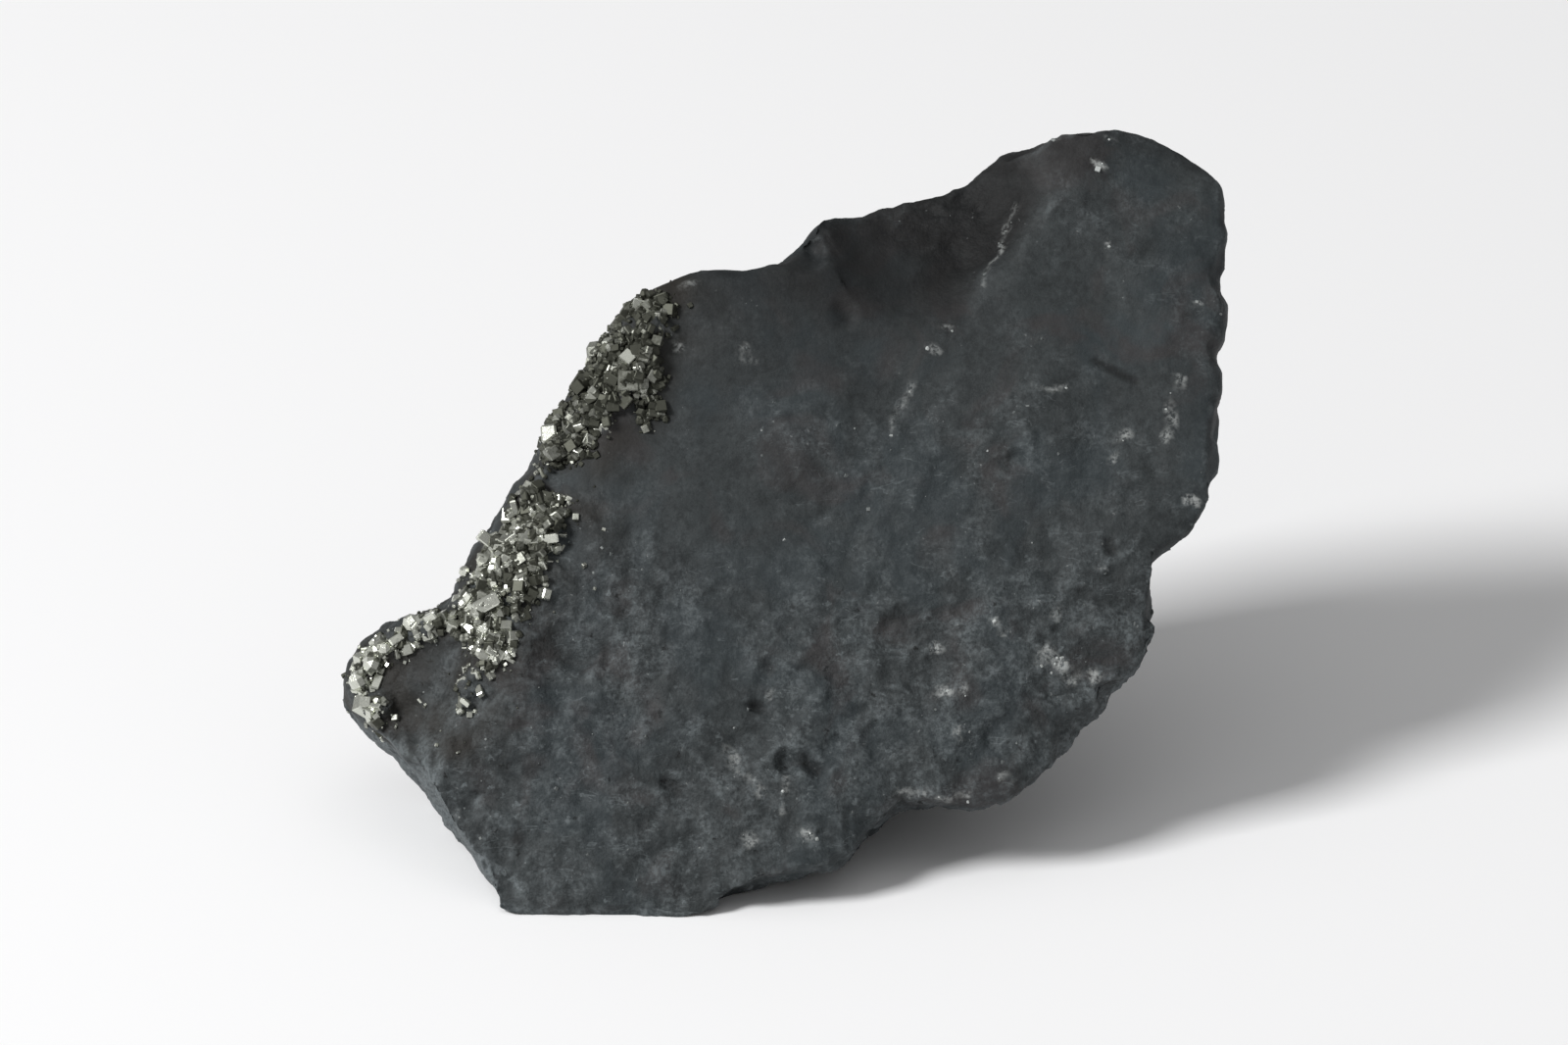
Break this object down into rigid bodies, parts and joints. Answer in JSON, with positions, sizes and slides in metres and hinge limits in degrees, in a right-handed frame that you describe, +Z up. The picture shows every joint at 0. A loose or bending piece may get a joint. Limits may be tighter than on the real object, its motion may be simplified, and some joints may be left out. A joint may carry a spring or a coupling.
{
  "type": "raw shungite stone",
  "caption": "Rough broken lump of dull grey-black shungite with a broad flat face, a dark hollow under its top rim, a thin chipped edge and a brassy pyrite crust; rests on a flat fracture.",
  "frame": {"origin": "on the plane of the flat fracture that the lump rests on, under the middle of its bounding box", "axes": "+X along the lump's longest extent, to the right when the broad face is looked at; +Y away from whoever looks at that face; +Z up"},
  "size_m": [0.0558, 0.035, 0.0395],
  "materials": {
    "shungite": "dull grey-black broken rock with a fine pale dust, faintly bluish, slightly glossy on its highest edges",
    "pyrite": "pale brassy cubes with bright flat faces and olive-dark gaps, grown into the rock along its left edge"
  },
  "bodies": {
    "root": {"shungite_stone": "shungite"}
  },
  "joints": []
}
